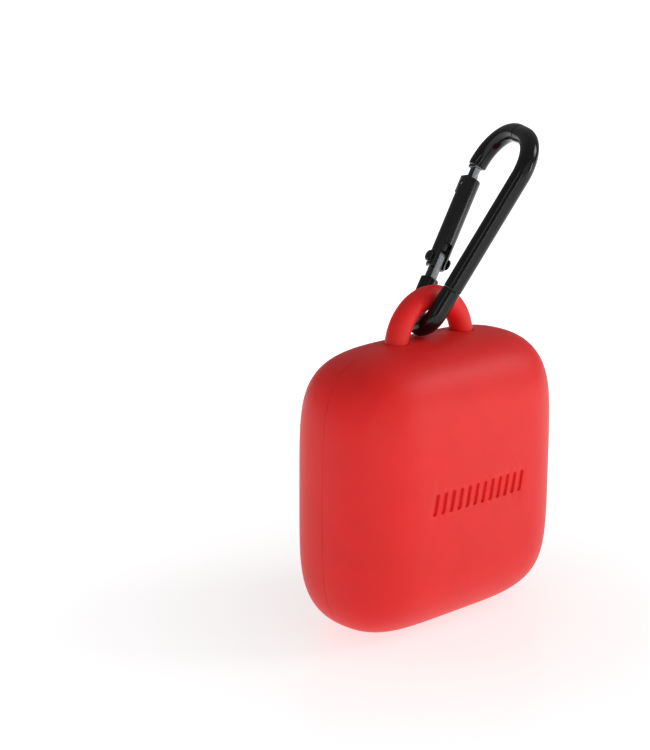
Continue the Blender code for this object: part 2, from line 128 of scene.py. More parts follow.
# Carabiner: centre of its small bend, then directions across it (b) and along it (a).
CARABINER_ORIGIN = np.array((0.225, 0.117, 82.038))
ACROSS = np.array((-0.25167, -0.94831, 0.19332))
ALONG = np.array((0.5436, 0.02675, 0.83891))
ROD_RADIUS = 2.43
ROD_SIDES = 56
ROD_END_ROUND = 0.4
SMALL_BEND = 5.811
SPINE_LEAN = 0.323
SPINE_LENGTH = 39.155
LARGE_BEND = 9.843
LARGE_SWEEP = 1.555
ELBOW = 10.772
GATE_RADIUS = 2.6
GATE_BORE = 1.85
PIVOT = 13.255
GATE_BOTTOM = PIVOT - 2.3
GATE_TOP = 36.74
STUB_END = 7.9
NOSE_END = 40.5
NOSE_PIN = 34.6
LOWER_CREASE = 6.6
UPPER_CREASE = 2.5
CREASE_DEPTH = 0.16

# Light: the sky near the horizon and overhead, the floor's own glow near the case and beyond, the
# two distances between which it grows, and soft boxes of (name, place, size, power) in metres and
# watts, aimed at one spot in the case. The floor glows as a white backdrop that also lights the
# case from below, and its dimmer glow near the case is a painted shadow round the case.
SKY_LOW = 0.2
SKY_HIGH = 0.34
FLOOR_GLOW_AND_PAINTED_SHADOW = (0.67, 1.1)
PAINTED_SHADOW_REACH = (0.03, 0.24)
PANELS = (
    ("front_box", (-0.6, -2.1, 0.8), (2.0, 1.5), 5.3),
    ("key_box", (0.72, -0.54, 0.62), (0.35, 0.35), 2.6),
    ("gate_strip", (0.64, -0.98, 0.12), (0.2, 0.4), 2.1),
    ("spine_strip", (-1.09, -0.17, 0.58), (0.07, 0.6), 0.65),
    ("centre_strip", (-0.75, -0.94, 0.16), (0.06, 0.5), 0.65),
)

LIGHT_TARGET = (0, 0, 0.05)

# Camera: place in metres, then where it looks and its up direction.
CAMERA_PLACE = (-0.31676, -0.30466, 0.17431)
CAMERA_FORWARD = (0.65685, 0.71341, -0.24411)
CAMERA_UP = (0.16361, 0.18118, 0.96975)
CAMERA_LENS = 84.34


def unit(vector):
    return np.asarray(vector, float) / np.linalg.norm(vector)


ALONG = unit(ALONG)
ACROSS = unit(ACROSS - ALONG * np.dot(ACROSS, ALONG))
THROUGH = np.cross(ACROSS, ALONG)
CARABINER_FRAME = (CARABINER_ORIGIN, ACROSS, ALONG, THROUGH)


# Materials ----------------------------------------------------------------------------------------


class Shader:
    """A Principled material and the short calls that wire detail into it."""

    def __init__(self, name, colour, roughness, metallic=0.0):
        self.material = bpy.data.materials.new(name)
        self.material.use_nodes = True
        self.nodes = self.material.node_tree.nodes
        self.links = self.material.node_tree.links
        self.main = self.nodes["Principled BSDF"]
        self.main.inputs["Base Color"].default_value = (*colour, 1.0)
        self.main.inputs["Roughness"].default_value = roughness
        self.main.inputs["Metallic"].default_value = metallic
        self.colour = colour
        self.place = self.nodes.new("ShaderNodeTexCoord").outputs["Object"]

    def set(self, **values):
        for name, value in values.items():
            self.main.inputs[name.replace("_", " ")].default_value = value
        return self

    def noise(self, size, detail=3.0, stretch=None):
        """Noise whose features are about size millimetres across."""
        node = self.nodes.new("ShaderNodeTexNoise")
        node.inputs["Scale"].default_value = 1.0 / (size * MM)
        node.inputs["Detail"].default_value = detail
        place = self.place
        if stretch:
            mapping = self.nodes.new("ShaderNodeMapping")
            mapping.inputs["Scale"].default_value = stretch
            self.links.new(self.place, mapping.inputs["Vector"])
            place = mapping.outputs["Vector"]
        self.links.new(place, node.inputs["Vector"])
        return node.outputs["Fac"]

    def ramp(self, value, low, high, start=0.3, end=0.7):
        node = self.nodes.new("ShaderNodeMapRange")
        node.inputs["From Min"].default_value = start
        node.inputs["From Max"].default_value = end
        node.inputs["To Min"].default_value = low
        node.inputs["To Max"].default_value = high
        self.links.new(value, node.inputs["Value"])
        return node.outputs["Result"]

    def vary_colour(self, value, darker, lighter):
        """Base colour between two multiples of itself."""
        node = self.nodes.new("ShaderNodeMix")
        node.data_type = "RGBA"
        node.inputs["A"].default_value = (*[c * darker for c in self.colour], 1.0)
        node.inputs["B"].default_value = (*[min(c * lighter, 1.0) for c in self.colour], 1.0)
        self.links.new(value, node.inputs["Factor"])
        self.links.new(node.outputs["Result"], self.main.inputs["Base Color"])
        return self

    def vary_roughness(self, value, low, high):
        self.links.new(self.ramp(value, low, high), self.main.inputs["Roughness"])
        return self

    def bump(self, value, depth, strength=1.0, after=None):
        """Bump of depth millimetres."""
        node = self.nodes.new("ShaderNodeBump")
        node.inputs["Strength"].default_value = strength
        node.inputs["Distance"].default_value = depth * MM
        self.links.new(value, node.inputs["Height"])
        if after:
            self.links.new(after, node.inputs["Normal"])
        self.links.new(node.outputs["Normal"], self.main.inputs["Normal"])
        return node.outputs["Normal"]


def silicone():
    shader = Shader("red_silicone", (0.8, 0.0105, 0.0095), 0.5)
    shader.set(Subsurface_Weight=0.12, Subsurface_Scale=0.002, Specular_IOR_Level=0.33)
    shader.main.inputs["Subsurface Radius"].default_value = (1.0, 0.25, 0.2)
    shader.set(Sheen_Weight=0.06, Sheen_Roughness=0.45)
    shader.main.inputs["Sheen Tint"].default_value = (1.0, 0.55, 0.5, 1.0)
    cloud = shader.noise(9.0, 4.0)
    shader.vary_colour(shader.ramp(cloud, 0.0, 1.0), 0.96, 1.03)
    grain = shader.noise(0.16, 3.0)
    shader.vary_roughness(grain, 0.42, 0.52)
    rough = shader.bump(grain, 0.012, 0.8)
    shader.bump(shader.noise(5.0, 2.0), 0.05, 0.25, after=rough)
    return shader.material


def moulded_plastic(name, colour, roughness):
    shader = Shader(name, colour, roughness)
    shader.vary_colour(shader.ramp(shader.noise(6.0), 0.0, 1.0), 0.85, 1.2)
    grain = shader.noise(0.22, 4.0)
    shader.vary_roughness(grain, roughness - 0.06, roughness + 0.1)
    shader.bump(grain, 0.02, 0.7)
    return shader.material


def seal_rubber():
    shader = Shader("seal_rubber", (0.22, 0.012, 0.012), 0.6)
    shader.vary_colour(shader.ramp(shader.noise(2.0), 0.0, 1.0), 0.8, 1.15)
    shader.bump(shader.noise(0.12), 0.01, 0.6)
    return shader.material


def brushed_steel():
    shader = Shader("plain_steel", (0.55, 0.56, 0.58), 0.3, 1.0)
    scratches = shader.noise(0.5, 5.0, stretch=(1.0, 6.0, 1.0))
    shader.vary_colour(shader.ramp(scratches, 0.0, 1.0), 0.8, 1.1)
    shader.vary_roughness(scratches, 0.22, 0.45)
    shader.bump(scratches, 0.006, 0.5)
    return shader.material


def bare_aluminium():
    """The sawn, tumbled end of the rod where it's not black."""
    shader = Shader("bare_aluminium", (0.27, 0.285, 0.3), 0.5, 0.55)
    speckle = shader.noise(0.5, 5.0)
    shader.vary_colour(shader.ramp(speckle, 0.0, 1.0), 0.75, 1.25)
    shader.vary_roughness(speckle, 0.42, 0.62)
    shader.bump(speckle, 0.02, 0.6)
    return shader.material


def black_anodised(name, roughness, level):
    shader = Shader(name, (0.003, 0.003, 0.0035), roughness)
    shader.set(Specular_IOR_Level=level)
    flow = shader.noise(1.6, 5.0)
    shader.vary_colour(shader.ramp(flow, 0.0, 1.0), 0.8, 1.3)
    shader.vary_roughness(flow, roughness - 0.02, roughness + 0.02)
    shader.bump(shader.noise(6.0, 1.0), 0.002, 0.2)
    return shader.material


def guard_rubber(name, colour, roughness):
    shader = Shader(name, colour, roughness)
    shader.set(Subsurface_Weight=0.15, Subsurface_Scale=0.0015, Specular_IOR_Level=0.5)
    soft = shader.noise(3.0, 3.0)
    shader.vary_colour(shader.ramp(soft, 0.0, 1.0), 0.85, 1.15)
    shader.vary_roughness(soft, roughness - 0.06, roughness + 0.1)
    shader.bump(shader.noise(0.6, 3.0), 0.02, 0.5)
    return shader.material


# Meshes -------------------------------------------------------------------------------------------


def finish_mesh(mesh):
    """Faces out, smooth shading, and sharp edges where two faces meet at a clear angle."""
    work = bmesh.new()
    work.from_mesh(mesh)
    bmesh.ops.recalc_face_normals(work, faces=work.faces)
    work.to_mesh(mesh)
    work.free()
    mesh.polygons.foreach_set("use_smooth", [True] * len(mesh.polygons))
    mesh.set_sharp_from_angle(angle=math.radians(SHARP_ANGLE))


def solid(name, points, faces):
    mesh = bpy.data.meshes.new(name)
    mesh.from_pydata([tuple(np.asarray(p) * MM) for p in points], [], faces)
    finish_mesh(mesh)
    made = bpy.data.objects.new(name, mesh)
    bpy.context.scene.collection.objects.link(made)
    return made


def loft(rings):
    """Points and faces of a closed skin over rings; a ring of one point is a pole."""
    points = []
    starts = []
    for ring in rings:
        starts.append(len(points))
        points.extend(ring)
    faces = []
    for one, two, first, second in zip(rings, rings[1:], starts, starts[1:]):
        count = max(len(one), len(two))
        for k in range(count):
            nxt = (k + 1) % count
            if len(one) == 1:
                faces.append((first, second + nxt, second + k))
            elif len(two) == 1:
                faces.append((first + k, first + nxt, second))
            else:
                faces.append((first + k, first + nxt, second + nxt, second + k))
    for ring, start in ((rings[0], starts[0]), (rings[-1], starts[-1])):
        if len(ring) > 1:
            faces.append(tuple(range(start, start + len(ring))))
    return points, faces


def lofted(name, rings):
    return solid(name, *loft(rings))


def box(low, high, axes=None):
    """A box between two corners, along the world's axes or along (origin, x, y, z)."""
    origin, x, y, z = axes or (np.zeros(3), (1, 0, 0), (0, 1, 0), (0, 0, 1))
    rings = []
    for c in (low[2], high[2]):
        corners = ((low[0], low[1]), (high[0], low[1]), (high[0], high[1]), (low[0], high[1]))
        rings.append([origin + a * np.array(x) + b * np.array(y) + c * np.array(z) for a, b in corners])
    return lofted("box", rings)


def turned(name, origin, axis, profile, sides):
    """A solid of revolution: profile is (height along the axis, radius), and radius 0 is a pole."""
    axis = unit(axis)
    side = unit(np.cross(axis, (0.3, 0.2, 1.0) if abs(axis[2]) < 0.9 else (1.0, 0.0, 0.0)))
    other = np.cross(axis, side)
    rings = []
    for height, radius in profile:
        centre = np.asarray(origin, float) + axis * height
        if radius == 0:
            rings.append([centre])
            continue
        turns = [2 * math.pi * k / sides for k in range(sides)]
        rings.append([centre + radius * (math.cos(t) * side + math.sin(t) * other) for t in turns])
    return lofted(name, rings)


def rod(origin, axis, start, end, radius, sides=48):
    return turned("rod", origin, axis, ((start, radius), (end, radius)), sides)


def rounded_rod(name, origin, axis, start, end, radius, edge, sides=48):
    """A short cylinder whose ends have a quarter-round edge."""
    steps = [math.pi / 2 * k / 4 for k in range(5)]
    low = [(start + edge * (1 - math.sin(t)), radius - edge * (1 - math.cos(t))) for t in steps[::-1]]
    high = [(end - edge * (1 - math.sin(t)), radius - edge * (1 - math.cos(t))) for t in steps]
    return turned(name, origin, axis, [(start, 0), *low, *high, (end, 0)], sides)


def swept(name, path, radius, sides, up):
    """A round rod along a path; up is the side that its first ring starts from."""
    path = np.asarray(path, float)
    tangents = np.gradient(path, axis=0)
    turns = [2 * math.pi * k / sides for k in range(sides)]
    rings = []
    side = None
    for point, tangent in zip(path, tangents):
        tangent = unit(tangent)
        reference = up if side is None else side
        side = unit(np.asarray(reference) - tangent * np.dot(reference, tangent))
        other = np.cross(tangent, side)
        rings.append([point + radius * (math.cos(t) * side + math.sin(t) * other) for t in turns])
    return lofted(name, rings)


def modified(target, kind, **settings):
    """Applies one modifier and keeps its result as the mesh."""
    step = target.modifiers.new("step", kind)
    for name, value in settings.items():
        setattr(step, name, value)
    bpy.context.view_layer.update()
    graph = bpy.context.evaluated_depsgraph_get()
    mesh = bpy.data.meshes.new_from_object(target.evaluated_get(graph))
    target.modifiers.clear()
    target.data = mesh
    return target


def combine(target, tool, operation):
    modified(target, "BOOLEAN", operation=operation, solver="EXACT", object=tool)
    bpy.data.objects.remove(tool, do_unlink=True)
    return target


def join(target, tool):
    return combine(target, tool, "UNION")


def cut(target, tool):
    return combine(target, tool, "DIFFERENCE")


def merged(objects):
    """Several separate solids as one object, to cut with them all at once."""
    work = bmesh.new()
    for made in objects:
        work.from_mesh(made.data)
    mesh = bpy.data.meshes.new("merged")
    work.to_mesh(mesh)
    work.free()
    for made in objects:
        bpy.data.objects.remove(made, do_unlink=True)
    result = bpy.data.objects.new("merged", mesh)
    bpy.context.scene.collection.objects.link(result)
    return result


def bevelled(target, width, segments=2, angle=40):
    return modified(
        target,
        "BEVEL",
        width=width * MM,
        segments=segments,
        limit_method="ANGLE",
        angle_limit=math.radians(angle),
        use_clamp_overlap=True,
    )


def show(made, name, look, body, nodes=(), edge_look=None):
    """Names a finished piece, paints it, lets it ride on a body and stand for CAD nodes.

    edge_look is for the faces across the carabiner's plane, where a cut shows bare metal.
    """
    made.name = name
    made.data.name = name
    finish_mesh(made.data)
    made.data.materials.clear()
    made.data.materials.append(look)
    if edge_look:
        made.data.materials.append(edge_look)
        for face in made.data.polygons:
            face.material_index = int(abs(np.dot(face.normal, THROUGH)) < 0.5)
    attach(made, body)
    if nodes:
        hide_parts(*nodes)
    return made


# Case ---------------------------------------------------------------------------------------------


def outline(inset, y, scale=1.0):
    """The case's outline at an inset from its widest size, with walls even round the corners."""
    half_x = HALF_WIDTH - inset
    half_z = HALF_HEIGHT - inset
    corner = HALF_WIDTH * 2 ** (-1 / CORNER_EXPONENT) - 0.778 * inset
    exponent = -math.log(2) / math.log(corner / half_x)
    ring = []
    for k in range(SEGMENTS):
        turn = 2 * math.pi * k / SEGMENTS
        c, s = math.cos(turn), math.sin(turn)
        x = half_x * math.copysign(abs(c) ** (2 / exponent), c) * scale
        z = half_z * math.copysign(abs(s) ** (2 / exponent), s) * scale
        ring.append(np.array((x, y, CENTRE_Z + z)))
    return ring


def swell(x, z):
    """How far a face stands out beyond a flat one: most in the middle, nothing at the edges."""
    across = max(1 - (x / HALF_WIDTH) ** 2, 0.0)
    upright = max(1 - ((z - CENTRE_Z) / HALF_HEIGHT) ** 2, 0.0)
    return FACE_DOME * (across * upright) ** 2


def face_y(x, z):
    """Outside of the front face near its middle."""
    return -(HALF_THICKNESS - FACE_DOME + swell(x, z))


def skin(wall, start, side):
    """Rings of the pillow inset by wall, from y = start out to the pole of one face."""
    depth = HALF_THICKNESS - FACE_DOME - wall
    radius = HALF_THICKNESS - wall
    first = math.asin((abs(start) / depth) ** (EDGE_EXPONENT / 2))
    rings = []
    for k in range(EDGE_RINGS + 1):
        turn = first + (math.pi / 2 - first) * k / EDGE_RINGS
        y = depth * math.sin(turn) ** (2 / EDGE_EXPONENT)
        inset = radius * (1 - max(math.cos(turn), 0.0) ** (2 / EDGE_EXPONENT))
        rings.append(outline(wall + inset, side * y))
    for k in range(1, DOME_RINGS):
        rings.append(outline(wall + radius, side * depth, 1 - k / DOME_RINGS))
    rings.append([np.array((0, side * depth, CENTRE_Z))])
    return [[p + np.array((0, side * swell(p[0], p[2]), 0)) for p in ring] for ring in rings]


def standing(rings):
    """The outside rings with the bottom levelled off as a flat foot."""
    return [[np.array((p[0], p[1], max(p[2], 0.0))) for p in ring] for ring in rings]


def cover(side):
    """One half of the soft cover; its rim has a small round at the parting line."""
    rim = SEAM_Y + side * SEAM_GAP / 2
    start = 0.0 if side > 0 else abs(rim) + RIM_ROUND
    rings = standing(skin(0.0, start, side))[::-1]
    for k in range(0 if side > 0 else 1, 5):
        turn = math.pi / 2 * k / 4
        y = rim + side * RIM_ROUND * (1 - math.sin(turn))
        rings += standing([outline(RIM_ROUND * (1 - math.cos(turn)), y)])
    rings.append(outline(COVER_WALL, rim))
    return lofted("cover", rings + skin(COVER_WALL, 0.0 if side > 0 else abs(rim) + 0.2, side))


def front_shell():
    outer = skin(SHELL_OUTSIDE, FRONT_SHELL_RIM, -1)
    step = LIP_TOP - 0.3
    rebate = [outline(REBATE, FRONT_SHELL_RIM), outline(REBATE + 0.05, step)]
    return lofted("shell", outer[::-1] + rebate + skin(SHELL_INSIDE, step, -1))


def rear_shell():
    """The rear half with a lip that reaches forward inside the front half."""
    outer = skin(SHELL_OUTSIDE, 0.0, 1)
    rim = [outline(SHELL_OUTSIDE, REAR_SHELL_RIM), outline(LIP_OUTSIDE, REAR_SHELL_RIM)]
    lip = [outline(LIP_OUTSIDE, LIP_TOP), outline(SHELL_INSIDE, LIP_TOP)]
    return lofted("shell", outer[::-1] + rim + lip + skin(SHELL_INSIDE, 0.0, 1))


def loop_holes():
    """Cutters for the legs of the loop, flared where they leave the cover."""
    profile = ((64, LOOP_HOLE_RADIUS), (73.95, LOOP_HOLE_RADIUS), (74.15, LOOP_HOLE_RADIUS + 0.04))
    profile += ((74.3, LOOP_HOLE_RADIUS + 0.14), (74.42, LOOP_HOLE_RADIUS + 0.34), (76, 4.2))
    return [turned("hole", (x, 0, 0), (0, 0, 1), profile, 64) for x in (-LOOP_HOLE_X, LOOP_HOLE_X)]


def vents():
    """Cutters for the drying holes in the back, slightly flared outside."""
    spots = [(0, 0)] + [(x, z) for x in (-8, 8) for z in (-6, 6)]
    profile = ((10, VENT_RADIUS), (18.3, VENT_RADIUS), (18.6, VENT_RADIUS + 0.1), (20, VENT_RADIUS + 1.2))
    return [turned("vent", (x, 0, CENTRE_Z + z), (0, 1, 0), profile, 40) for x, z in spots]


def mark_bar(x):
    """Cutter for one pressed bar, with a soft edge and a rounded floor."""
    face = face_y(x, MARK_Z)
    width, height = MARK_BAR
    reach = (height - width) / 2
    steps = ((-1.0, 0.22), (0.0, 0.14), (0.06, 0.05), (0.14, 0.0), (0.8, -0.03), (1.0, -0.14))
    rings = []
    for depth, grow in steps:
        radius = width / 2 + grow
        ring = []
        for k in range(32):
            turn = 2 * math.pi * (k + 0.5) / 32
            rise = math.copysign(reach, math.sin(turn)) + radius * math.sin(turn)
            y = face + depth * (MARK_DEPTH if depth > 0 else 1)
            ring.append(np.array((x + radius * math.cos(turn) + MARK_SLANT * rise, y, MARK_Z + rise)))
        rings.append(ring)
    return lofted("bar", rings)


def mark_bars():
    middle = (MARK_COUNT - 1) / 2
    return [mark_bar((k - middle) * MARK_PITCH) for k in range(MARK_COUNT)]


def knuckle_span(index):
    """Bottom and top of one hinge knuckle."""
    bottom = CENTRE_Z + (index - KNUCKLES / 2) * KNUCKLE_PITCH
    return bottom + KNUCKLE_GAP / 2, bottom + KNUCKLE_PITCH - KNUCKLE_GAP / 2


def add_knuckles(shell, indices, arm_y):
    """Hinge knuckles, each on an arm that comes out of the shell's wall."""
    arms = []
    barrels = []
    for low, high in map(knuckle_span, indices):
        arms.append(box((HALF_WIDTH - 2.5, arm_y[0], low), (HALF_WIDTH - 0.5, arm_y[1], high)))
        axle = (HINGE_X, HINGE_Y, 0)
        barrels.append(
            rounded_rod("barrel", axle, (0, 0, 1), low + 0.001, high - 0.001, BARREL_RADIUS, 0.25)
        )
    join(shell, merged(arms))
    join(shell, merged(barrels))
    reach = KNUCKLES * KNUCKLE_PITCH / 2 + 2
    return cut(shell, rod((HINGE_X, HINGE_Y, CENTRE_Z), (0, 0, 1), -reach, reach, HINGE_BORE_RADIUS, 32))


def hinge_notch(low_y, high_y):
    reach = KNUCKLES * KNUCKLE_PITCH / 2 + 0.8
    low = (HALF_WIDTH - 4, low_y, CENTRE_Z - reach)
    high = (HALF_WIDTH + 4, high_y, CENTRE_Z + reach)
    return box(low, high)


def add_bosses(shell, mouth, foot):
    """Two round bosses with magnet pockets that open at the mouth."""
    inwards = 1 if foot > mouth else -1
    bosses = []
    pockets = []
    for z in (-MAGNET_DZ, MAGNET_DZ):
        spot = (MAGNET_X, 0, CENTRE_Z + z)
        bosses.append(rod(spot, (0, 1, 0), min(mouth, foot), max(mouth, foot), BOSS_RADIUS))
        ends = sorted((mouth - inwards, mouth + inwards * (MAGNET_THICKNESS + 0.4)))
        pockets.append(rod(spot, (0, 1, 0), *ends, MAGNET_RADIUS + 0.2))
    join(shell, merged(bosses))
    return cut(shell, merged(pockets))


def magnet(start, end, z):
    place = (MAGNET_X, 0, CENTRE_Z + z)
    return rounded_rod("magnet", place, (0, 1, 0), start, end, MAGNET_RADIUS, 0.2)


def rim_seal():
    """A gasket round the rim, open at the top between the legs of the loop."""
    corners = [(SEAL_INSET[0], SEAL_Y[0]), (SEAL_INSET[0], SEAL_Y[1])]
    corners += [(SEAL_INSET[1], SEAL_Y[1]), (SEAL_INSET[1], SEAL_Y[0])]
    rings = [outline(inset, y) for inset, y in corners]
    top = CASE_TOP - HALF_HEIGHT * 0.5
    keep = [k for k in range(SEGMENTS) if not (rings[0][k][2] > top and abs(rings[0][k][0]) < 17)]
    first = next(k for k in keep if (k - 1) % SEGMENTS not in keep)
    order = [(first + k) % SEGMENTS for k in range(len(keep))]
    return bevelled(lofted("seal", [[ring[k] for ring in rings] for k in order]), 0.12)


def hinge_pin():
    reach = KNUCKLES * KNUCKLE_PITCH / 2 + 0.4
    place = (HINGE_X, HINGE_Y, CENTRE_Z)
    return rounded_rod("pin", place, (0, 0, 1), -reach, reach, HINGE_PIN_RADIUS, 0.2, 32)


def lanyard_loop():
    """A half ring on two legs that end in a foot plate inside the rear half."""
    turns = [math.pi * k / 72 for k in range(73)]
    arch = [(LOOP_RADIUS * math.cos(t), 0, LOOP_Z + LOOP_RADIUS * math.sin(t)) for t in turns]
    leg_end = LOOP_FOOT[0][2] + 1
    path = [(LOOP_RADIUS, 0, leg_end), *arch, (-LOOP_RADIUS, 0, leg_end)]
    band = swept("loop", path, LOOP_TUBE, 48, (0, 1, 0))
    return join(band, bevelled(box(*LOOP_FOOT), 0.3))


# Inside the case ----------------------------------------------------------------------------------


def rounded_plate(name, half, exponent, low_y, high_y):
    """A flat piece with a superellipse outline, upright between two depths."""
    rings = []
    for y in (low_y, high_y):
        ring = []
        for k in range(PLATE_SIDES):
            turn = 2 * math.pi * k / PLATE_SIDES
            c, s = math.cos(turn), math.sin(turn)
            x = half[0] * math.copysign(abs(c) ** (2 / exponent), c)
            z = half[1] * math.copysign(abs(s) ** (2 / exponent), s)
            ring.append(np.array((x, y, CENTRE_Z + z)))
        rings.append(ring)
    return lofted(name, rings)


def cradle():
    """A tray with a raised block that fills the arch of the mouthguard, on four feet."""
    tray = rounded_plate("tray", TRAY_HALF, 4.5, 11.4, 12.6)
    join(tray, rounded_plate("block", BLOCK_HALF, 3.0, 1.5, 11.9))
    feet = []
    for x in (-CRADLE_FOOT, CRADLE_FOOT):
        for z in (-CRADLE_FOOT, CRADLE_FOOT):
            feet.append(rod((x, 0, CENTRE_Z + z), (0, 1, 0), 12, 14.0, 2.0))
    join(tray, merged(feet))
    cut(tray, rounded_plate("hollow", HOLLOW_HALF, 3.0, 3.5, 13.5))
    return bevelled(tray, 0.35, 3)


def softened(section):
    """A polygon whose corners are cut twice, so that they look moulded."""
    points = [np.array(p, float) for p in section]
    for reach in (0.7, 0.3):
        cut_points = []
        for one, two in zip(points, points[1:] + points[:1]):
            part = min(reach / np.linalg.norm(two - one), 0.3)
            cut_points += [one + (two - one) * part, two + (one - two) * part]
        points = cut_points
    return points


def arch_station(turn):
    """Point of the dental arch, its outward normal and its width factor; turn 0 is the front."""
    z = ARCH_FRONT_Z + ARCH_DEPTH * (1 - math.cos(turn))
    point = np.array((ARCH_HALF_WIDTH * math.sin(turn), 0, z))
    normal = unit((math.sin(turn) / ARCH_HALF_WIDTH, 0, -math.cos(turn) / ARCH_DEPTH))
    return point, normal, 0.86 + 0.14 * abs(math.sin(turn))


def channel(name, section, ends):
    """A trough along the dental arch; section is (outwards, y)."""
    rings = []
    for k in range(ARCH_STATIONS):
        turn = ends * (2 * k / (ARCH_STATIONS - 1) - 1)
        point, normal, width = arch_station(turn)
        rings.append([point + normal * a * width + np.array((0, y, 0)) for a, y in softened(section)])
    return bevelled(lofted(name, rings), 0.3, 3, 60)


FRAME_SECTION = (
    (4.1, -7.6), (4.7, -8.2), (5.5, -7.4), (5.8, 6.0), (4.6, 8.4), (0.0, 9.0),
    (-4.4, 8.4), (-5.5, 6.0), (-5.3, -2.6), (-4.7, -3.2), (-4.1, -2.6), (-4.1, 5.6), (4.1, 5.6),
)
LINER_SECTION = (
    (2.7, -7.0), (3.2, -7.6), (3.7, -7.0), (3.75, 5.3), (-3.75, 5.3), (-3.7, -2.2),
    (-3.2, -2.7), (-2.7, -2.2), (-2.6, 4.1), (2.6, 4.1),
)


# Carabiner ----------------------------------------------------------------------------------------


def carabiner_point(b, a, n=0.0):
    return CARABINER_ORIGIN + b * ACROSS + a * ALONG + n * THROUGH


GATE_AXIS_FOOT = carabiner_point(-SMALL_BEND, 0)


def arc(centre, radius, start, sweep, count):
    turns = [start + sweep * k / count for k in range(count + 1)]
    return [(centre[0] + radius * math.cos(t), centre[1] + radius * math.sin(t)) for t in turns]


def rod_path():
    """The rod's centreline in the carabiner's plane, and the two places where it is creased."""
    path = [(-SMALL_BEND, STUB_END), (-SMALL_BEND, 5.0)]
    path += arc((0, 0), SMALL_BEND, math.pi, math.pi - SPINE_LEAN, 48)
    heading = np.array((math.sin(SPINE_LEAN), math.cos(SPINE_LEAN)))
    left = np.array((-heading[1], heading[0]))
    lower_crease = np.array(path[-1]) + heading * LOWER_CREASE
    top_of_spine = np.array(path[-1]) + heading * SPINE_LENGTH
    centre = top_of_spine + left * LARGE_BEND
    path += arc(centre, LARGE_BEND, -SPINE_LEAN, LARGE_SWEEP, 48)
    turn = LARGE_SWEEP - SPINE_LEAN
    shoulder = np.array((-math.sin(turn), math.cos(turn)))
    upper_crease = np.array(path[-1]) + shoulder * UPPER_CREASE
    elbow_sweep = math.pi + SPINE_LEAN - LARGE_SWEEP
    run = (path[-1][0] + SMALL_BEND - ELBOW * (1 - math.cos(elbow_sweep))) / -shoulder[0]
    start = np.array(path[-1]) + shoulder * run
    inwards = np.array((-shoulder[1], shoulder[0]))
    elbow_centre = start + inwards * ELBOW
    trim = math.asin((NOSE_END - elbow_centre[1]) / ELBOW)
    path += arc(elbow_centre, ELBOW, turn, elbow_sweep - trim, 48)
    return np.array(path), (lower_crease, upper_crease)


def walked(path, spots):
    """Distances along a path, close together at its ends and at the given spots."""
    steps = np.linalg.norm(np.diff(path, axis=0), axis=1)
    along = np.concatenate(([0.0], np.cumsum(steps)))
    fine = np.linspace(0, along[-1], 3000)
    trace = np.array([np.interp(fine, along, path[:, k]) for k in (0, 1)]).T
    places = [fine[np.argmin(np.linalg.norm(trace - spot, axis=1))] for spot in spots]
    near = [place + offset for place in places for offset in np.arange(-0.6, 0.61, 0.1)]
    ends = [x for k in range(1, 7) for x in (0.08 * k, along[-1] - 0.08 * k)]
    stops = np.unique(np.round([0, along[-1], *np.arange(0.6, along[-1] - 0.5, 0.55), *near, *ends], 3))
    return stops, places, along


def carabiner_rod():
    """The bent rod, with rounded ends and two pinched creases."""
    path, creases = rod_path()
    stops, places, along = walked(path, creases)
    total = along[-1]
    rings = []
    for stop in stops:
        b, a = (np.interp(stop, along, path[:, k]) for k in (0, 1))
        before = [np.interp(max(stop - 0.1, 0), along, path[:, k]) for k in (0, 1)]
        after = [np.interp(min(stop + 0.1, total), along, path[:, k]) for k in (0, 1)]
        heading = unit(np.array(after) - np.array(before))
        end = min(stop, total - stop, ROD_END_ROUND)
        radius = ROD_RADIUS - ROD_END_ROUND
        radius += math.sqrt(max(ROD_END_ROUND**2 - (ROD_END_ROUND - end) ** 2, 0.0))
        radius -= sum(CREASE_DEPTH * math.exp(-(((stop - place) / 0.2) ** 2)) for place in places)
        side = -heading[1] * ACROSS + heading[0] * ALONG
        ring = []
        for k in range(ROD_SIDES):
            turn = 2 * math.pi * k / ROD_SIDES
            outwards = math.cos(turn) * THROUGH + math.sin(turn) * side
            ring.append(carabiner_point(b, a) + radius * outwards)
        rings.append(ring)
    return lofted("rod", rings)


def plate(name, corners, half_thickness, bevel=0.12):
    """A flat piece in the carabiner's plane, from corners (b from the gate's axis, a)."""
    rings = []
    for n in (-half_thickness, half_thickness):
        rings.append([carabiner_point(b - SMALL_BEND, a, n) for b, a in corners])
    return bevelled(lofted(name, rings), bevel, 2, 30)


def foot_tongue():
    """The bare flat end that the gate turns on."""
    low, high = STUB_END - 0.5, PIVOT + 2.08
    corners = [(-1.68, low), (1.68, low), (1.68, high - 1.1), (1.25, high - 0.5), (0.95, high)]
    corners += [(-0.95, high), (-1.25, high - 0.5), (-1.68, high - 1.1)]
    made = plate("tongue", corners, 0.98)
    return cut(made, rod(carabiner_point(-SMALL_BEND, PIVOT), THROUGH, -2, 2, 0.85))


def nose_tongue():
    """The bare hook that the gate's pin closes on, with a wider shoulder at the rod's end."""
    low, high = NOSE_PIN - 0.98, NOSE_END + 0.5
    corners = [(-1.28, low), (1.28, low), (1.28, NOSE_PIN - 0.75), (-0.7, NOSE_PIN - 0.75)]
    corners += [(-0.7, NOSE_PIN + 0.75), (1.28, NOSE_PIN + 0.75), (1.28, high), (-1.28, high)]
    hook = plate("hook", corners, 0.88, 0.1)
    step = [(-1.9, NOSE_END - 0.5), (1.9, NOSE_END - 0.5), (1.9, high), (-1.9, high)]
    return join(hook, plate("step", step, 1.35, 0.1))


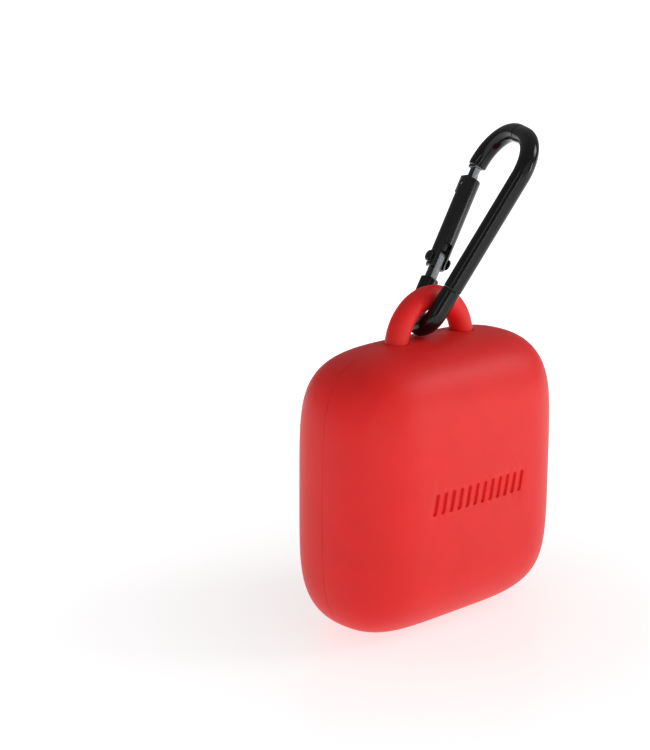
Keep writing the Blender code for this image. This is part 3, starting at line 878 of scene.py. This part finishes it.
def gate():
    """A tube with a forked foot, a blind bore for the spring and a slotted top."""
    made = rounded_rod("gate", GATE_AXIS_FOOT, ALONG, GATE_BOTTOM, GATE_TOP, GATE_RADIUS, 0.35, 72)
    cut(made, rod(GATE_AXIS_FOOT, ALONG, GATE_BOTTOM - 1, PIVOT + 18.0, GATE_BORE))
    cut(made, rod(GATE_AXIS_FOOT, ALONG, PIVOT + 19.4, GATE_TOP + 1, GATE_BORE))
    b = -SMALL_BEND
    cut(made, box((b - 4, GATE_BOTTOM - 1, -1.25), (b + 4, PIVOT + 4.6, 1.25), CARABINER_FRAME))
    cut(made, box((b - 4, PIVOT + 19.7, -1.15), (b + 0.9, GATE_TOP + 1, 1.15), CARABINER_FRAME))
    cut(made, rod(carabiner_point(b, PIVOT), THROUGH, -4, 4, 0.9))
    cut(made, rod(carabiner_point(b, NOSE_PIN), THROUGH, -4, 4, 0.75))
    return bevelled(made, 0.07, 2, 50)


def hinge_rivet():
    """A rivet with a domed head on each side of the gate."""
    half = [(0.0, 0.65), (2.8, 0.65), (2.8, 1.38), (2.88, 1.48), (3.0, 1.5), (3.15, 1.46), (3.3, 1.34)]
    half += [(3.43, 1.1), (3.53, 0.8), (3.58, 0.45), (3.6, 0)]
    profile = [(-h, radius) for h, radius in reversed(half[1:])] + half[1:]
    return turned("rivet", carabiner_point(-SMALL_BEND, PIVOT), THROUGH, profile, 48)


def nose_pin():
    place = carabiner_point(-SMALL_BEND, NOSE_PIN)
    return rounded_rod("pin", place, THROUGH, -2.35, 2.35, 0.45, 0.1, 24)


def gate_spring():
    turns, per_turn, radius = 8, 24, 1.3
    low, high = PIVOT + 6.1, PIVOT + 17.6
    path = []
    for k in range(turns * per_turn + 1):
        turn = 2 * math.pi * k / per_turn
        height = low + (high - low) * k / (turns * per_turn)
        side = (-SMALL_BEND + radius * math.cos(turn), height, radius * math.sin(turn))
        path.append(carabiner_point(*side))
    return swept("spring", path, 0.2, 10, ALONG)


def gate_plunger():
    low = PIVOT + 2.45
    profile = [(low, 0), (low, 1.2), (low + 0.1, 1.38), (low + 0.3, 1.5), (low + 2.7, 1.5)]
    profile += [(low + 2.8, 1.42), (low + 2.8, 0.7), (low + 5.9, 0.7), (low + 6.0, 0.6), (low + 6.0, 0)]
    return turned("plunger", GATE_AXIS_FOOT, ALONG, profile, 36)


# Assembly -----------------------------------------------------------------------------------------


def show_case(looks):
    rear = cut(cover(1), merged([*loop_holes(), *vents(), hinge_notch(-2, 3.4)]))
    front = cut(cover(-1), merged([*loop_holes(), *mark_bars(), hinge_notch(-4.6, 1)]))
    inner_rear = cut(rear_shell(), merged([*loop_holes(), *vents()]))
    inner_front = cut(front_shell(), merged(loop_holes()))
    add_bosses(inner_rear, LIP_TOP, 4.8)
    add_bosses(inner_front, LIP_TOP - 0.4, -6.1)
    add_knuckles(inner_rear, (0, 2, 4), (0.4, 3.0))
    add_knuckles(inner_front, (1, 3), (-4.2, -1.8))
    show(rear, "look_rear_cover", looks["silicone"], "rear_half", ("rear_cover",))
    show(front, "look_front_cover", looks["silicone"], "front_half", ("front_cover",))
    show(inner_rear, "look_rear_shell", looks["plastic"], "rear_half", ("rear_shell",))
    show(inner_front, "look_front_shell", looks["plastic"], "front_half", ("front_shell",))
    show(lanyard_loop(), "look_loop", looks["silicone"], "rear_half", ("lanyard_loop",))
    show(rim_seal(), "look_rim_seal", looks["seal"], "rear_half", ("rim_seal",))
    show(hinge_pin(), "look_hinge_pin", looks["steel"], "rear_half", ("hinge_pin",))
    for spot, z in (("lower", -MAGNET_DZ), ("upper", MAGNET_DZ)):
        rear_disc = magnet(LIP_TOP + 0.2, LIP_TOP + 0.2 + MAGNET_THICKNESS, z)
        front_disc = magnet(LIP_TOP - 0.6 - MAGNET_THICKNESS, LIP_TOP - 0.6, z)
        for disc, half in ((rear_disc, "rear"), (front_disc, "front")):
            node = f"{half}_magnet_{spot}"
            show(disc, "look_" + node, looks["steel"], half + "_half", (node,))


def show_mouthguard(looks):
    show(cradle(), "look_cradle", looks["tray"], "rear_half", ("cradle",))
    outer = channel("frame", FRAME_SECTION, FRAME_REACH)
    inner = channel("liner", LINER_SECTION, LINER_REACH)
    show(outer, "look_guard_frame", looks["guard"], "mouthguard", ("mouthguard_frame",))
    show(inner, "look_guard_liner", looks["liner"], "mouthguard", ("mouthguard_liner",))


def show_carabiner(looks):
    black = looks["anodised"]
    show(carabiner_rod(), "look_rod", black, "carabiner", ("carabiner_body",))
    show(foot_tongue(), "look_foot_tongue", black, "carabiner", (), looks["bare"])
    show(nose_tongue(), "look_nose_tongue", black, "carabiner", (), looks["bare"])
    show(hinge_rivet(), "look_rivet", black, "carabiner", ("gate_hinge_rivet",))
    show(gate(), "look_gate", looks["satin"], "gate", ("gate",))
    show(nose_pin(), "look_nose_pin", looks["steel"], "gate", ("gate_nose_pin",))
    show(gate_spring(), "look_spring", looks["steel"], "gate", ("gate_spring",))
    show(gate_plunger(), "look_plunger", looks["dark"], "plunger", ("gate_plunger",))


def make_looks():
    return {
        "silicone": silicone(),
        "plastic": moulded_plastic("black_plastic", (0.022, 0.022, 0.024), 0.42),
        "seal": seal_rubber(),
        "steel": brushed_steel(),
        "tray": moulded_plastic("grey_tray", (0.11, 0.11, 0.12), 0.5),
        "guard": guard_rubber("guard_frame", (0.04, 0.04, 0.045), 0.36),
        "liner": guard_rubber("guard_liner", (0.6, 0.035, 0.03), 0.3),
        "anodised": black_anodised("black_anodised", 0.16, 0.3),
        "satin": black_anodised("satin_anodised", 0.28, 0.4),
        "bare": bare_aluminium(),
        "dark": moulded_plastic("dark_plastic", (0.008, 0.008, 0.009), 0.5),
    }


# Stage --------------------------------------------------------------------------------------------


def make_floor():
    """A wide pale floor that glows more with distance, so that it reads as one white sweep; its glow also
    lights the case from below, and the dimmer glow near the case is a painted shadow round it.
    """
    bpy.ops.mesh.primitive_plane_add(size=30.0, location=(0, 0, 0))
    floor = bpy.context.object
    floor.name = "floor"
    shader = Shader("pale_floor", (0.5, 0.5, 0.5), 0.25)
    shader.set(Specular_IOR_Level=0.35)
    shader.main.inputs["Emission Color"].default_value = (1.0, 1.0, 1.0, 1.0)
    shader.vary_colour(shader.ramp(shader.noise(60.0), 0.0, 1.0), 0.995, 1.005)
    distance = shader.nodes.new("ShaderNodeVectorMath")
    distance.operation = "LENGTH"
    shader.links.new(shader.place, distance.inputs[0])
    # The glow is dimmer near the case: a painted shadow on the floor round the case.
    glow_and_painted_shadow = shader.ramp(distance.outputs["Value"], *FLOOR_GLOW_AND_PAINTED_SHADOW, *PAINTED_SHADOW_REACH)
    shader.links.new(glow_and_painted_shadow, shader.main.inputs["Emission Strength"])
    floor.data.materials.append(shader.material)


def make_world():
    """Even light, a little brighter overhead than near the horizon."""
    world = bpy.data.worlds.new("studio")
    bpy.context.scene.world = world
    world.use_nodes = True
    nodes, links = world.node_tree.nodes, world.node_tree.links
    place = nodes.new("ShaderNodeTexCoord").outputs["Generated"]
    split = nodes.new("ShaderNodeSeparateXYZ")
    ramp = nodes.new("ShaderNodeMapRange")
    ramp.inputs["From Min"].default_value = 0.0
    ramp.inputs["From Max"].default_value = 0.9
    ramp.inputs["To Min"].default_value = SKY_LOW
    ramp.inputs["To Max"].default_value = SKY_HIGH
    links.new(place, split.inputs["Vector"])
    links.new(split.outputs["Z"], ramp.inputs["Value"])
    nodes["Background"].inputs["Color"].default_value = (1.0, 1.0, 1.0, 1.0)
    links.new(ramp.outputs["Result"], nodes["Background"].inputs["Strength"])


def panel(name, place, size, power):
    """A rectangular soft box aimed at the case."""
    light = bpy.data.lights.new(name, "AREA")
    light.shape = "RECTANGLE"
    light.size, light.size_y = size
    light.energy = power
    made = bpy.data.objects.new(name, light)
    bpy.context.scene.collection.objects.link(made)
    made.location = place
    direction = Vector(LIGHT_TARGET) - Vector(place)
    made.rotation_euler = direction.to_track_quat("-Z", "Y").to_euler()


def make_camera():
    camera = bpy.data.cameras.new("camera")
    camera.lens = CAMERA_LENS
    camera.sensor_width = 36
    camera.clip_start = 0.01
    made = bpy.data.objects.new("camera", camera)
    bpy.context.scene.collection.objects.link(made)
    forward = Vector(CAMERA_FORWARD).normalized()
    right = forward.cross(Vector(CAMERA_UP)).normalized()
    up = right.cross(forward)
    turn = Matrix((right, up, -forward)).transposed()
    made.matrix_world = Matrix.Translation(CAMERA_PLACE) @ turn.to_4x4()
    bpy.context.scene.camera = made


def main():
    looks = make_looks()
    show_case(looks)
    show_mouthguard(looks)
    show_carabiner(looks)
    make_floor()
    make_world()
    for soft_box in PANELS:
        panel(*soft_box)
    make_camera()
    bpy.context.scene.view_settings.view_transform = "Standard"


main()
